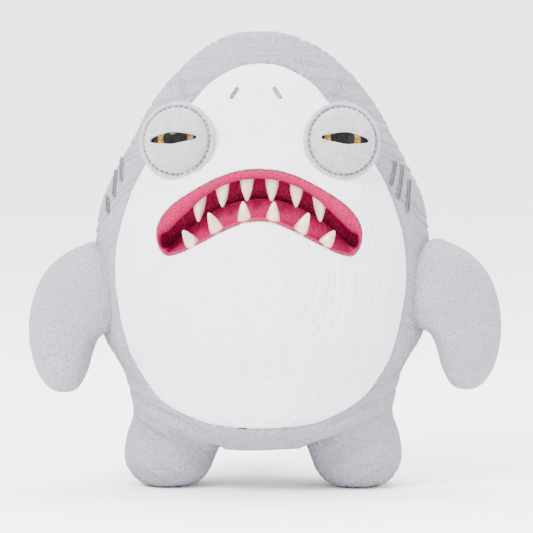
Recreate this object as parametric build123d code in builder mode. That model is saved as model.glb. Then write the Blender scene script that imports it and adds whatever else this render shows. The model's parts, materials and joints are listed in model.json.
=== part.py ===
from build123d import *

import os
from math import atan2, cos, degrees, hypot, radians, sin, sqrt

# Plush shark that stands on two short legs, nose up. Millimetres, +Z up, front towards -Y.
# The shark's own left is +X. The origin is on the floor under the middle of its bounding box.
# Every fabric cover is a shell round a core of polyester fibre, cut along its sewn seams.

os.makedirs("parts", exist_ok=True)

# ---------------------------------------------------------------- driving dimensions
HEIGHT = 230.0  # floor to snout tip
FLATTENING = 0.80  # depth of the body over its width
BODY_Y = -23.0  # middle of the body; the fin and the tail stick out behind it
FABRIC = 2.0  # fleece and its pile
SIDE_SEAM_Y = BODY_Y + 2.0  # front and back covers meet here

HIP_Z = 24.0  # the legs run into the body at this level
LEG_X = 47.5
LEG_Y = BODY_Y + 3.0
LEG_DEPTH_RATIO = 1.25  # depth of a leg over its width
SOLE_HEIGHT = 6.0  # the sole's edge is sewn this far up the foot

EYE_X = 40.3
EYE_Y = BODY_Y - 47.0
EYE_Z = 176.0
EYE_TURN = 15.0  # degrees outwards
EYE_LIFT = 10.0  # degrees upwards
EYE_BUMP_RADIUS = 18.6
PATCH_RADIUS = 19.4
PATCH_THICKNESS = 1.5
STITCH_RADIUS = 16.9
STITCH_WIDTH = 0.8
EYE_RADIUS = 11.8  # edge of the plastic dome
EYE_DOME = 7.5  # height of the plastic dome
LID_RADIUS = 16.0
LID_DOME = 9.8
SLIT_HALF_LENGTH = 12.2
SLIT_RISE = 3.2
SLIT_DROP = 2.8
SLIT_TILT = 6.5  # degrees, inner corner up
STEM_RADIUS = 2.5
EYE_STEM = 10.0
EYE_WASHER_RADIUS = 9.0
EYE_WASHER_THICKNESS = 1.5

MOUTH_BACK_Y = BODY_Y - 40.0
LIP_BACK_Y = BODY_Y - 47.0
LINING = 1.6
LIP_ARC_RADIUS = 47.4  # the gum line of the upper teeth
LIP_ARC_Z = 111.1
TOOTH_LENGTH = 10.0
TOOTH_RADIUS = 3.9
TOOTH_STEM_RADIUS = 1.2
TOOTH_WASHER_RADIUS = 3.2
TOOTH_WASHER_THICKNESS = 1.2
TOOTH_SET_BACK = 5.5  # tooth axis behind the face
TOOTH_ROOT = 1.0  # part of a tooth sunk in the gum

CENTRING = 2.167  # moves everything back, so the box from nose to fin tip is centred on Y = 0
SHOULDER_X = 86.0
SHOULDER_Z = 100.0
SHOULDER_RADIUS = 23.0
SHOULDER_CLEARANCE = 2.2
ARM_Y = BODY_Y - 9.0
ARM_HALF_THICKNESS = 15.0
ARM_ROUNDING = 9.5
ARMPIT_ROUNDING = 2.5
ARMPIT_ANGLE = 100.0  # degrees below the shoulder's outward direction
SHOULDER_TOP_ANGLE = 58.0  # degrees above it

FIN_ROOT_Y = BODY_Y + 70.0  # lower end of the dorsal fin's hinge line
FIN_ROOT_Z = 104.0
FIN_LEAN = 6.6  # degrees that the hinge line leans forwards
FIN_ROOT_LENGTH = 52.0
FIN_HALF_THICKNESS = 7.0
FIN_ROUNDING = 4.6
FIN_POCKET_RADIUS = 10.0

TAIL_Y = BODY_Y + 54.0  # the tail's upright hinge line
TAIL_LOW_Z = 27.0
TAIL_HIGH_Z = 57.0
TAIL_HALF_THICKNESS = 8.5
TAIL_ROUNDING = 5.6
TAIL_POCKET_RADIUS = 13.0

FAR = 150.0  # well outside the toy
CORNER_EXTRA = 0.6  # corners of a fin are rounder than its rim
END_GAP = 0.8  # a moving root's play at each end of its pocket

TORSO_SIDE = [
    (60.0, HIP_Z),
    (65.2, 38.0),
    (70.5, 60.0),
    (81.0, 78.0),
    (85.4, 104.0),
    (81.6, 142.5),
    (65.2, 176.0),
    (44.6, 208.0),
    (24.5, 225.0),
    (9.0, HEIGHT),
]
LEG_SIDE = [(10.5, 0.0), (16.5, 2.8), (21.4, 8.6), (22.9, 15.0), (21.8, HIP_Z)]
BELLY_SIDE = [
    (0.0, 215.0),
    (26.5, 204.8),
    (47.0, 180.0),
    (63.8, 153.0),
    (73.3, 113.0),
    (69.5, 82.0),
    (58.5, 55.5),
    (36.0, 38.5),
    (0.0, 33.3),
]
MOUTH_TOP = [(0.0, 162.3), (17.5, 159.2), (35.3, 149.8), (48.2, 138.0), (50.0, 129.0), (45.7, 120.4)]
MOUTH_BOTTOM = [(45.7, 120.4), (35.6, 123.3), (17.9, 132.7), (0.0, 138.0)]
ARM_SIDE = [
    (110.5, 109.0),
    (118.0, 84.0),
    (113.5, 59.0),
    (99.5, 49.3),
    (88.5, 61.0),
    (83.4, 74.0),
]
FIN_LEADING_EDGE = [(0.0, FIN_ROOT_LENGTH), (20.0, 40.5), (38.0, 20.0), (45.0, 3.0)]
FIN_TRAILING_EDGE = [(45.0, 3.0), (24.0, 8.0), (0.0, 0.0)]
TAIL_UPPER_EDGE = [(0.0, TAIL_HIGH_Z), (17.0, 61.0), (38.0, 76.0), (53.0, 90.0)]
TAIL_REAR_EDGE = [(53.0, 90.0), (43.0, 60.0), (49.0, 33.0)]
TAIL_LOWER_EDGE = [(49.0, 33.0), (32.0, 35.0), (15.0, 30.0), (0.0, TAIL_LOW_Z)]

# root and tip of each tooth on the shark's left, in X and Z; the right side mirrors them
UPPER_TEETH = [((6.3, 157.0), (6.1, 147.2)), ((18.2, 154.0), (18.1, 144.4)), ((29.4, 147.0), (29.6, 136.6))]
LOWER_TEETH = [((6.8, 137.2), (7.8, 147.0)), ((20.0, 132.6), (24.6, 141.4)), ((32.2, 126.2), (37.0, 132.2))]
GILLS = [((68.6, 165.6), (67.4, 155.6)), ((71.8, 161.0), (71.0, 148.0)), ((74.6, 151.6), (74.2, 140.8))]
NOSTRIL = ((13.2, 197.2), (9.8, 201.4))
THREAD_HEIGHT = 0.6
THREAD_WIDTH = 1.6
THREAD_END_Y = 3.0  # the sewn slits end this far in front of the body's middle


# ---------------------------------------------------------------- shared shapes
def moved_left(points, distance):
    """A curve moved sideways to the left of its direction, with mitred corners."""
    steps = [(Vector(*end) - Vector(*start)).normalized() for start, end in zip(points, points[1:])]
    moved = []
    for point, before, after in zip(points, steps[:1] + steps, steps + steps[-1:]):
        ahead = (before + after) * 0.5
        mitre = distance / ahead.length**2
        moved.append((point[0] - mitre * ahead.Y, point[1] + mitre * ahead.X))
    return moved


def lofted_form(points, inset, depth_ratio):
    """A solid with oval level sections, as wide as the side curve says, shrunk by inset."""
    top = HEIGHT - inset
    with BuildPart() as solid:
        for half_width, z in points:
            level = HIP_Z + inset if z == HIP_Z else min(max(z, inset), top)
            with BuildSketch(Plane.XY.offset(level)):
                Ellipse(half_width - inset, half_width * depth_ratio - inset)
        loft()
    return solid.part


def torso(inset):
    """The body without legs, flattened front to back."""
    return lofted_form(TORSO_SIDE, inset, FLATTENING)


def leg(inset):
    """One short leg with a rounded foot, centred on the Z axis."""
    return lofted_form(LEG_SIDE, inset, LEG_DEPTH_RATIO)


def eye_plane(side):
    """Plane of an eye bump's flat front, with X to the shark's left and Y up."""
    turn = radians(EYE_TURN) * side
    lift = radians(EYE_LIFT)
    normal = (sin(turn) * cos(lift), -cos(turn) * cos(lift), sin(lift))
    across = (cos(turn), sin(turn), 0)
    return Plane(origin=(side * EYE_X, EYE_Y, EYE_Z), x_dir=across, z_dir=normal)


def body_form(inset):
    """Torso, legs and the two bumps that carry the eyes, shrunk by inset on every side."""
    legs = [Pos(side * LEG_X, LEG_Y, 0) * leg(inset) for side in (-1, 1)]
    with BuildPart() as form:
        add(Pos(0, BODY_Y, 0) * torso(inset))
        for side in (-1, 1):
            with BuildSketch(eye_plane(side).offset(-inset)):
                Circle(EYE_BUMP_RADIUS - inset)
            extrude(amount=-2 * EYE_BUMP_RADIUS)
        for one_leg in legs:
            add(one_leg)
    return form.part


def face_y(x, z):
    """Y of the front of the torso at a place on the face."""
    for (x_low, z_low), (x_high, z_high) in zip(TORSO_SIDE, TORSO_SIDE[1:]):
        if z_low <= z <= z_high:
            half_width = x_low + (x_high - x_low) * (z - z_low) / (z_high - z_low)
    return BODY_Y - FLATTENING * sqrt(half_width**2 - x**2)


def run_back(outline, y_front, y_back):
    """An outline in X and Z run from y_front back to y_back."""
    with BuildPart() as solid:
        with BuildSketch(Plane.XZ.offset(-y_front)):
            add(outline)
        extrude(amount=y_front - y_back)
    return solid.part


def mouth_outline(grow):
    """The open mouth: an arch turned down at both ends, grown outwards for its lining."""
    side = moved_left(MOUTH_TOP + MOUTH_BOTTOM[1:], grow)
    corner = len(MOUTH_TOP)
    top = [(0, MOUTH_TOP[0][1] + grow)] + side[1:corner]
    bottom = side[corner - 1 : -1] + [(0, MOUTH_BOTTOM[-1][1] - grow)]
    with BuildSketch() as outline:
        with BuildLine():
            upper = Spline(*top, tangents=[(1, 0), (-0.8, -0.6)])
            lower = Spline(*bottom, tangents=[(-1, 0.1), (-1, 0)])
            Line(lower @ 1, upper @ 0)
        make_face()
        mirror(about=Plane.YZ)
    return outline.sketch


def lip_outline():
    """The padded upper lip: what the mouth has above the upper gum line."""
    with BuildSketch() as outline:
        add(mouth_outline(0))
        with Locations((0, LIP_ARC_Z)):
            Circle(LIP_ARC_RADIUS, mode=Mode.SUBTRACT)
        with Locations((0, LIP_ARC_Z)):
            Rectangle(FAR, 2 * LIP_ARC_Z, align=(Align.CENTER, Align.MIN), mode=Mode.INTERSECT)
    return outline.sketch


def below_fold():
    """Everything below the fold where the roof lining is sewn to the floor lining."""
    with BuildSketch() as outline:
        with BuildLine():
            fold = ThreePointArc((-60, 121), (0, 148), (60, 121))
            Polyline(fold @ 1, (60, 60), (-60, 60), fold @ 0)
        make_face()
    return outline.sketch


def save(part, node):
    """Put one finished piece in the part's frame, label it and write it."""
    part = Pos(0, CENTRING, 0) * part
    part.label = node
    export_step(part, f"parts/{node}.step")


# ---------------------------------------------------------------- plastic teeth
def tooth_plane(root, tip, mirrored):
    """Plane at a tooth's root, its normal along the tooth."""
    side = -1 if mirrored else 1
    y = face_y(root[0], root[1]) + TOOTH_SET_BACK
    along = Vector(side * (tip[0] - root[0]), 0, tip[1] - root[1]).normalized()
    start = Vector(side * root[0], y, root[1]) - along * TOOTH_ROOT
    return Plane(origin=start, x_dir=(0, 1, 0), z_dir=along)


def tooth_profile():
    """Half section of a tooth, its root at zero, with the rounded tip up."""
    with BuildSketch() as profile:
        with BuildLine():
            flank = Spline(
                (TOOTH_RADIUS * 0.93, 0),
                (TOOTH_RADIUS, TOOTH_LENGTH * 0.3),
                (TOOTH_RADIUS * 0.72, TOOTH_LENGTH * 0.72),
                (0, TOOTH_LENGTH + TOOTH_ROOT),
                tangents=[(0.1, 1), (-1, 0)],
            )
            Line(flank @ 1, (0, 0))
            Line((0, 0), flank @ 0)
        make_face()
    return profile.sketch


def tooth(plane, stem_length):
    """One moulded tooth with the stem that goes through the lining."""
    with BuildPart() as solid:
        with BuildSketch(Plane.XZ):
            add(tooth_profile())
        revolve(axis=Axis.Z)
        with BuildSketch(Plane.XY):
            Circle(TOOTH_STEM_RADIUS)
        extrude(amount=-stem_length)
    return plane.location * solid.part


def tooth_washer(plane, depth):
    """Locking washer pushed onto a tooth's stem behind the lining."""
    with BuildPart() as solid:
        with BuildSketch(plane.offset(-depth)):
            Circle(TOOTH_WASHER_RADIUS)
            Circle(TOOTH_STEM_RADIUS, mode=Mode.SUBTRACT)
        extrude(amount=-TOOTH_WASHER_THICKNESS)
    return solid.part


def tooth_row(teeth, washer_depths):
    """Teeth from the shark's right to its left, and their washers."""
    places = [(index, True) for index in (2, 1, 0)] + [(index, False) for index in (0, 1, 2)]
    row = []
    washers = []
    for index, mirrored in places:
        plane = tooth_plane(*teeth[index], mirrored)
        depth = washer_depths[index]
        row.append(tooth(plane, depth + 2 * TOOTH_WASHER_THICKNESS))
        washers.append(tooth_washer(plane, depth))
    return row, washers


upper_teeth, upper_washers = tooth_row(UPPER_TEETH, (7.0, 6.6, 7.6))
lower_teeth, lower_washers = tooth_row(LOWER_TEETH, (2.8, 3.2, 3.4))
for number, (upper, lower) in enumerate(zip(upper_teeth, lower_teeth), start=1):
    save(upper, f"upper_tooth_{number}")
    save(lower, f"lower_tooth_{number}")
save(Compound(children=upper_washers), "upper_tooth_washers")
save(Compound(children=lower_washers), "lower_tooth_washers")

# ---------------------------------------------------------------- eyes
def dome(plane, base_radius, height):
    """A cap of a sphere standing on a plane."""
    sphere_radius = (base_radius**2 + height**2) / (2 * height)
    with BuildPart() as solid:
        with BuildSketch(Plane.XZ):
            with BuildLine():
                arc = RadiusArc((base_radius, 0), (0, height), -sphere_radius)
                Polyline(arc @ 1, (0, 0), arc @ 0)
            make_face()
        revolve(axis=Axis.Z)
    return plane.location * solid.part


def lid_region(side, upper):
    """The part of an eye's plane that the upper or the lower lid covers."""
    rise = SLIT_RISE if upper else -SLIT_DROP
    far = 2 * LID_RADIUS if upper else -2 * LID_RADIUS
    wide = 2 * LID_RADIUS
    with BuildSketch() as region:
        with BuildLine():
            opening = ThreePointArc((-SLIT_HALF_LENGTH, 0), (0, rise), (SLIT_HALF_LENGTH, 0))
            Polyline(opening @ 1, (wide, 0), (wide, far), (-wide, far), (-wide, 0), opening @ 0)
        make_face()
    return Rot(0, 0, -side * SLIT_TILT) * region.sketch


def eye_set(side):
    """Patch, stitching, plastic eye, washer and two lids of one eye."""
    base = eye_plane(side)
    front = base.offset(PATCH_THICKNESS)
    with BuildPart() as eye:
        add(dome(front, EYE_RADIUS, EYE_DOME))
        with BuildSketch(front):
            Circle(STEM_RADIUS)
        extrude(amount=-EYE_STEM)
    with BuildPart() as patch:
        with BuildSketch(base):
            Circle(PATCH_RADIUS)
            Circle(STEM_RADIUS, mode=Mode.SUBTRACT)
        extrude(amount=PATCH_THICKNESS)
    with BuildPart() as stitching:
        with BuildSketch(front):
            Circle(STITCH_RADIUS + STITCH_WIDTH / 2)
            Circle(STITCH_RADIUS - STITCH_WIDTH / 2, mode=Mode.SUBTRACT)
        extrude(amount=THREAD_HEIGHT)
    with BuildPart() as washer:
        with BuildSketch(base.offset(-FABRIC)):
            Circle(EYE_WASHER_RADIUS)
            Circle(STEM_RADIUS, mode=Mode.SUBTRACT)
        extrude(amount=-EYE_WASHER_THICKNESS)
    lids = []
    for upper in (True, False):
        with BuildPart() as lid:
            add(dome(front, LID_RADIUS, LID_DOME))
            add(eye.part, mode=Mode.SUBTRACT)
            with BuildSketch(front):
                add(lid_region(side, upper))
            extrude(amount=2 * LID_DOME, mode=Mode.INTERSECT)
        lids.append(lid.part)
    return eye.part, patch.part, stitching.part, washer.part, lids[0], lids[1]


eyes = []
patches = []
eye_washers = []
for side, name in ((1, "left"), (-1, "right")):
    eye, patch, stitching, washer, upper_lid, lower_lid = eye_set(side)
    save(eye, f"{name}_eye")
    save(patch, f"{name}_eye_patch")
    save(stitching, f"{name}_eye_patch_stitching")
    save(washer, f"{name}_eye_washer")
    save(upper_lid, f"{name}_upper_eyelid")
    save(lower_lid, f"{name}_lower_eyelid")
    eyes.append(eye)
    patches.append(patch)
    eye_washers.append(washer)


# ---------------------------------------------------------------- moving limbs
def arm_form(inset):
    """The left arm: a round shoulder root that runs into a flat padded flipper."""
    radius = SHOULDER_RADIUS - inset
    fall = radians(ARMPIT_ANGLE)
    rise = radians(SHOULDER_TOP_ANGLE)
    bottom = (SHOULDER_X + radius * cos(fall), SHOULDER_Z - radius * sin(fall))
    top = (SHOULDER_X + radius * cos(rise), SHOULDER_Z + radius * sin(rise))
    side = moved_left(ARM_SIDE, -inset)
    with BuildPart() as solid:
        with BuildSketch(Plane.XZ.offset(-ARM_Y)) as outline:
            with BuildLine():
                ThreePointArc(bottom, (SHOULDER_X - radius, SHOULDER_Z), top)
                Spline(top, *side, bottom, tangents=[(sin(rise), -cos(rise)), (-0.3, 1)])
            make_face()
            fillet(outline.vertices().sort_by_distance((*bottom, 0))[0], ARMPIT_ROUNDING + inset)
        extrude(amount=ARM_HALF_THICKNESS - inset, both=True)
        flat = solid.faces().filter_by(Axis.Y)
        fillet(flat.edges(), ARM_ROUNDING - inset)
    return solid.part


def inset_edges(edges, inset):
    """The edges of a fin, which meet end to end, moved inwards together."""
    loop = [edges[0][0]] + [point for points in edges for point in points[1:]]
    moved = moved_left(loop, -inset)
    moved[0] = (0, loop[0][1] - inset)
    moved[-1] = (0, loop[-1][1] + inset)
    result = []
    start = 0
    for points in edges:
        result.append(moved[start : start + len(points)])
        start += len(points) - 1
    return result


def fin_form(edges, half_thickness, rounding, inset):
    """A flat padded fin in the plane X = 0; its round root turns about the Z axis."""
    root = inset - half_thickness
    with BuildPart() as solid:
        with BuildSketch(Plane.YZ) as outline:
            with BuildLine():
                inner_edges = inset_edges(edges, inset)
                for points in inner_edges:
                    Spline(*points)
                low = inner_edges[-1][-1]
                high = inner_edges[0][0]
                Polyline(low, (root, low[1]), (root, high[1]), high)
            make_face()
            corners = outline.vertices().filter_by(lambda vertex: abs(vertex.X) > 1)
            fillet(corners, rounding + CORNER_EXTRA - inset)
        extrude(amount=half_thickness - inset, both=True)
        fillet(solid.faces().filter_by(Axis.X).edges(), rounding - inset)
    return solid.part


def covers(outer, inner, split_plane):
    """The cover between two forms, cut along a seam plane into its two panels."""
    panels = []
    for keep in (Keep.TOP, Keep.BOTTOM):
        with BuildPart() as panel:
            add(outer)
            add(inner, mode=Mode.SUBTRACT)
            split(bisect_by=split_plane, keep=keep)
        panels.append(panel.part)
    return panels


arm_front, arm_back = covers(arm_form(0), arm_form(FABRIC), Plane.XZ.offset(-ARM_Y))
arm_pieces = {"front_panel": arm_front, "back_panel": arm_back, "stuffing": arm_form(FABRIC)}
for piece, shape in arm_pieces.items():
    save(shape, f"left_arm_{piece}")
    with BuildPart() as right:
        add(shape)
        mirror(about=Plane.YZ, mode=Mode.REPLACE)
    save(right.part, f"right_arm_{piece}")

FIN_PLACE = Location((0, FIN_ROOT_Y, FIN_ROOT_Z), (FIN_LEAN, 0, 0))
fin_shape = ([FIN_LEADING_EDGE, FIN_TRAILING_EDGE], FIN_HALF_THICKNESS, FIN_ROUNDING)
fin_left, fin_right = covers(fin_form(*fin_shape, 0), fin_form(*fin_shape, FABRIC), Plane.YZ)
save(FIN_PLACE * fin_left, "dorsal_fin_left_panel")
save(FIN_PLACE * fin_right, "dorsal_fin_right_panel")
save(FIN_PLACE * fin_form(*fin_shape, FABRIC), "dorsal_fin_stuffing")

TAIL_PLACE = Location((0, TAIL_Y, 0))
tail_edges = [TAIL_UPPER_EDGE, TAIL_REAR_EDGE, TAIL_LOWER_EDGE]
tail_shape = (tail_edges, TAIL_HALF_THICKNESS, TAIL_ROUNDING)
tail_left, tail_right = covers(fin_form(*tail_shape, 0), fin_form(*tail_shape, FABRIC), Plane.YZ)
save(TAIL_PLACE * tail_left, "tail_left_panel")
save(TAIL_PLACE * tail_right, "tail_right_panel")
save(TAIL_PLACE * fin_form(*tail_shape, FABRIC), "tail_stuffing")


# ---------------------------------------------------------------- pockets for the limbs
def limb_pockets():
    """Room in the body for the round roots of the arms, the dorsal fin and the tail."""
    with BuildPart() as pockets:
        for side in (-1, 1):
            with BuildSketch(Plane.XZ.offset(-ARM_Y)):
                with Locations((side * SHOULDER_X, SHOULDER_Z)):
                    Circle(SHOULDER_RADIUS + SHOULDER_CLEARANCE)
            extrude(amount=ARM_HALF_THICKNESS + END_GAP, both=True)
        with BuildSketch(Plane.XY.offset(TAIL_LOW_Z - END_GAP)):
            with Locations((0, TAIL_Y)):
                Circle(TAIL_POCKET_RADIUS)
        extrude(amount=TAIL_HIGH_Z - TAIL_LOW_Z + 2 * END_GAP)
        with BuildSketch(Plane(FIN_PLACE).offset(-END_GAP)):
            Circle(FIN_POCKET_RADIUS)
        extrude(amount=FIN_ROOT_LENGTH + 2 * END_GAP)
    return pockets.part


# ---------------------------------------------------------------- mouth lining
outer_form = body_form(0)
inner_form = body_form(FABRIC)
pockets = limb_pockets().solids()
mouth_hollow = run_back(mouth_outline(0), -FAR, MOUTH_BACK_Y)
mouth_outside = run_back(mouth_outline(LINING), -FAR, MOUTH_BACK_Y + LINING)
upper_lip = run_back(lip_outline(), -FAR, LIP_BACK_Y)
floor_side = run_back(below_fold(), -FAR, 0)
teeth_and_washers = upper_teeth + lower_teeth + upper_washers + lower_washers

with BuildPart() as roof_lining:
    add(mouth_outside)
    add(mouth_hollow, mode=Mode.SUBTRACT)
    add(floor_side, mode=Mode.SUBTRACT)
    add(upper_lip)
    add(outer_form, mode=Mode.INTERSECT)
    for cutter in teeth_and_washers:
        add(cutter, mode=Mode.SUBTRACT)
save(roof_lining.part, "mouth_roof_lining")

with BuildPart() as floor_lining:
    add(mouth_outside)
    add(mouth_hollow, mode=Mode.SUBTRACT)
    add(floor_side, mode=Mode.INTERSECT)
    add(upper_lip, mode=Mode.SUBTRACT)
    add(outer_form, mode=Mode.INTERSECT)
    for cutter in teeth_and_washers:
        add(cutter, mode=Mode.SUBTRACT)
save(floor_lining.part, "mouth_floor_lining")

# ---------------------------------------------------------------- body covers and stuffing
def belly_outline():
    """The egg-shaped belly and face panel, seen from the front."""
    with BuildSketch() as outline:
        with BuildLine():
            side_curve = Spline(*BELLY_SIDE, tangents=[(1, 0), (-1, 0)])
            Line(side_curve @ 1, side_curve @ 0)
        make_face()
        mirror(about=Plane.YZ)
    return outline.sketch


def body_cover(region, cutters):
    """The body's fleece cover inside one region, less what goes through it."""
    with BuildPart() as cover:
        add(outer_form)
        add(region, mode=Mode.INTERSECT)
        add(inner_form, mode=Mode.SUBTRACT)
        for cutter in cutters:
            add(cutter, mode=Mode.SUBTRACT)
    return cover.part


def block_above_soles(width_align, depth_align):
    """Everything above the soles on the given sides of the middle and of the side seam."""
    with BuildPart() as block:
        with BuildSketch(Plane.XY.offset(SOLE_HEIGHT)):
            with Locations((0, SIDE_SEAM_Y)):
                Rectangle(2 * FAR, FAR, align=(width_align, depth_align))
        extrude(amount=2 * HEIGHT)
    return block.part


belly_prism = run_back(belly_outline(), -FAR, SIDE_SEAM_Y)
save(body_cover(belly_prism, [mouth_outside, *eyes, *patches, *teeth_and_washers]), "belly_panel")

with BuildPart() as round_belly:
    add(block_above_soles(Align.CENTER, Align.MAX))
    add(belly_prism, mode=Mode.SUBTRACT)
save(body_cover(round_belly.part, [*pockets, *eyes, *patches]), "front_panel")
save(body_cover(block_above_soles(Align.MIN, Align.MIN), pockets), "back_panel_left")
save(body_cover(block_above_soles(Align.MAX, Align.MIN), pockets), "back_panel_right")

for side, name in ((1, "left"), (-1, "right")):
    with BuildPart() as sole:
        add(Pos(side * LEG_X, LEG_Y, 0) * leg(0))
        add(Pos(side * LEG_X, LEG_Y, 0) * leg(FABRIC), mode=Mode.SUBTRACT)
        with BuildSketch(Plane.XY.offset(SOLE_HEIGHT)):
            Rectangle(2 * FAR, 2 * FAR)
        extrude(amount=FAR, mode=Mode.SUBTRACT)
    save(sole.part, f"{name}_sole")

with BuildPart() as body_stuffing:
    add(inner_form)
    for cutter in [*pockets, mouth_outside, *eyes, *eye_washers, *teeth_and_washers]:
        add(cutter, mode=Mode.SUBTRACT)
save(body_stuffing.part, "body_stuffing")


# ---------------------------------------------------------------- embroidery
def thread_strip(start, end):
    """A round-ended strip in X and Z that stands for one sewn slit."""
    length = hypot(end[0] - start[0], end[1] - start[1])
    middle = ((start[0] + end[0]) / 2, (start[1] + end[1]) / 2)
    lean = degrees(atan2(end[1] - start[1], end[0] - start[0]))
    with BuildPart() as strip:
        with BuildSketch(Plane.XZ.offset(FAR)):
            with Locations(middle):
                SlotCenterToCenter(length, THREAD_WIDTH, rotation=lean)
        extrude(amount=-(FAR + BODY_Y - THREAD_END_Y))
    return strip.part


with BuildPart() as thread_layer:
    add(Pos(0, BODY_Y, 0) * torso(-THREAD_HEIGHT))
    add(Pos(0, BODY_Y, 0) * torso(0), mode=Mode.SUBTRACT)


def embroidery(strips):
    """Thread that lies on the cover inside the given strips."""
    threads = []
    for start, end in strips:
        with BuildPart() as thread:
            add(thread_layer.part)
            add(thread_strip(start, end), mode=Mode.INTERSECT)
        threads.append(thread.part)
    return Compound(children=threads)


def mirrored(strip):
    """The same strip on the shark's other side."""
    return tuple((-x, z) for x, z in strip)


save(embroidery(GILLS), "left_gill_embroidery")
save(embroidery([mirrored(gill) for gill in GILLS]), "right_gill_embroidery")
save(embroidery([NOSTRIL, mirrored(NOSTRIL)]), "nostril_embroidery")
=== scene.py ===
import json
import math

import bpy
import numpy as np
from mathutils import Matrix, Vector


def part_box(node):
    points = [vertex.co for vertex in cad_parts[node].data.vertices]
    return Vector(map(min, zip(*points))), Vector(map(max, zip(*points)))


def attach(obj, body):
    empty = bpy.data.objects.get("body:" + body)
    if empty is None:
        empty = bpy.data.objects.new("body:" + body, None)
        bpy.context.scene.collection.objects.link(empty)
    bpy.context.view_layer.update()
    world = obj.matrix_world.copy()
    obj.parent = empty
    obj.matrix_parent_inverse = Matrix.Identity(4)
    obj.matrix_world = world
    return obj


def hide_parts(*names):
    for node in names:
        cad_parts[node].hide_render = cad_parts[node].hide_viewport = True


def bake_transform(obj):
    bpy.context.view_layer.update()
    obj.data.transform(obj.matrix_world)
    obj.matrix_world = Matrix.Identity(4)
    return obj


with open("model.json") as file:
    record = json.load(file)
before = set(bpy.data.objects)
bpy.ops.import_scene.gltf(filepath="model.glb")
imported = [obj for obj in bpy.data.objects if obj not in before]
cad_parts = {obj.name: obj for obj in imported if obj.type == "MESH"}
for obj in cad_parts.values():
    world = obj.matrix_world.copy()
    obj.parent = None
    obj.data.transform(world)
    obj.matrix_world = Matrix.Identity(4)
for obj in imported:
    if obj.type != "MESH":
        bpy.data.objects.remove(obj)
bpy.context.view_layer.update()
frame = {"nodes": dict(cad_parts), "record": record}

# Plush shark: front towards -Y, the shark's own left towards +X. Shapes are in millimetres and become
# metres in mesh_piece. Material depths, lights, floor and camera are in metres.
# The stuffed body is a smooth field, and every body cover lies on it.

MM = 0.001
RNG = np.random.default_rng(7)


def side_of(name):
    """+1 for the shark's left, -1 for its right."""
    return 1 if name == "left" else -1


# ---------------------------------------------------------------- places read from the frame
def middle(node):
    """Middle of a CAD node's box."""
    low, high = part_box(node)
    return (np.array(low) + np.array(high)) / 2 / MM


joint_list = frame["record"]["behaviour"]["joints"]
joints = {joint["name"]: np.array(joint["pos_m"]) / MM for joint in joint_list}
axes = {joint["name"]: np.array(joint["axis"]) for joint in joint_list}
ARM_Y = joints["left_arm_raise"][1]
BODY_Y = ARM_Y + 9.0
LEG = middle("left_sole")
FLATTENING = 0.80  # depth of the torso over its width
LEG_DEPTH = 1.25  # depth of a leg over its width
CENTRE = np.array([0.0, BODY_Y, 105.0])  # rays from here find the covers
LEG_CENTRE_Z = 20.0
TORSO_BLUR = 22  # smoothing of the side curves, in steps of an eighth of a degree
LEG_BLUR = 24
LEG_MELT = 5.0  # how widely the legs and the eye padding flow into the torso
EYE_MELT = 7.0
EYE_TURN = 15.0  # degrees that each eye faces outwards, and upwards
EYE_LIFT = 10.0
PATCH_THICKNESS = 1.5
EYE_PAD_RADIUS = 18.8
EYE_PAD_HALF_DEPTH = 20.0
EYE_PAD_SET_BACK = 1.5
EYE_PAD_ROUNDING = 5.0
LUMP_SIZE = 19.0
LUMP_HEIGHT = 0.45

# ---------------------------------------------------------------- curves of the pattern, in mm
TORSO_SIDE = np.array([
    (0, 19.6), (24, 20.4), (45, 22.5), (58, 28), (64.6, 36), (66.4, 44), (70.5, 60), (76.5, 70),
    (81, 79), (85.2, 104), (84.6, 122), (81.6, 142.5), (74.6, 160), (65.6, 176), (55.3, 195),
    (44.8, 208), (29.6, 221.6), (14.8, 228.4), (0, 230),
])
LEG_SIDE = np.array([
    (0, 0), (10.5, 0), (16.6, 2.6), (21.0, 8.2), (22.9, 15), (22.0, 24), (19.4, 33), (12, 44), (0, 48),
])
BELLY_SIDE = np.array([
    (0, 215), (9, 213.9), (18, 210.2), (26.8, 204.4), (34.2, 196), (47.5, 181), (58.2, 164), (64, 153),
    (69, 139.5), (72.4, 125), (73.4, 111), (72.6, 98), (69.8, 83), (65.3, 68), (58.5, 55.3),
    (49, 45.2), (36, 38.4), (20.6, 34.6), (7, 33.4), (0, 33.3),
])
MOUTH_SIDE = np.array([
    (0, 162.4), (9, 161.6), (17.5, 159.2), (26.5, 155), (35.3, 149.8), (43.2, 144), (48.4, 137.6),
    (50.3, 131), (49.2, 124.6), (45.7, 120.6), (41, 121.2), (35.6, 123.4), (27, 127.9),
    (18, 132.7), (10, 136.3), (3.4, 137.9), (0, 138.1),
])
ARM_SIDE = np.array([
    (84, 124.5), (92, 122.8), (101.5, 117.8), (110.6, 108.6), (116, 96), (118, 83), (117, 70),
    (113.4, 58.6), (107, 50.8), (99, 49.2), (93, 52), (88.6, 60), (86, 69), (82.5, 77),
    (74, 82), (68, 90), (66.5, 103), (70, 116),
])
FIN_SIDE = np.array([
    (-9, 3), (0, 0.6), (11, 4), (24, 7.6), (36, 7), (43, 3.4), (45.6, 6.4), (43, 13), (36, 24),
    (26, 36), (14, 45.6), (0, 51.4), (-9, 48),
])
TAIL_SIDE = np.array([
    (-10, 29), (0, 27.6), (14, 31), (28, 35.4), (40, 34.6), (47.6, 33.6), (49, 37.6), (44.8, 47),
    (43.2, 58), (45.6, 72), (51.4, 85), (51, 89), (45.6, 85), (36, 75), (25, 65.6), (13, 59.4),
    (0, 56.4), (-10, 55),
])


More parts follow.
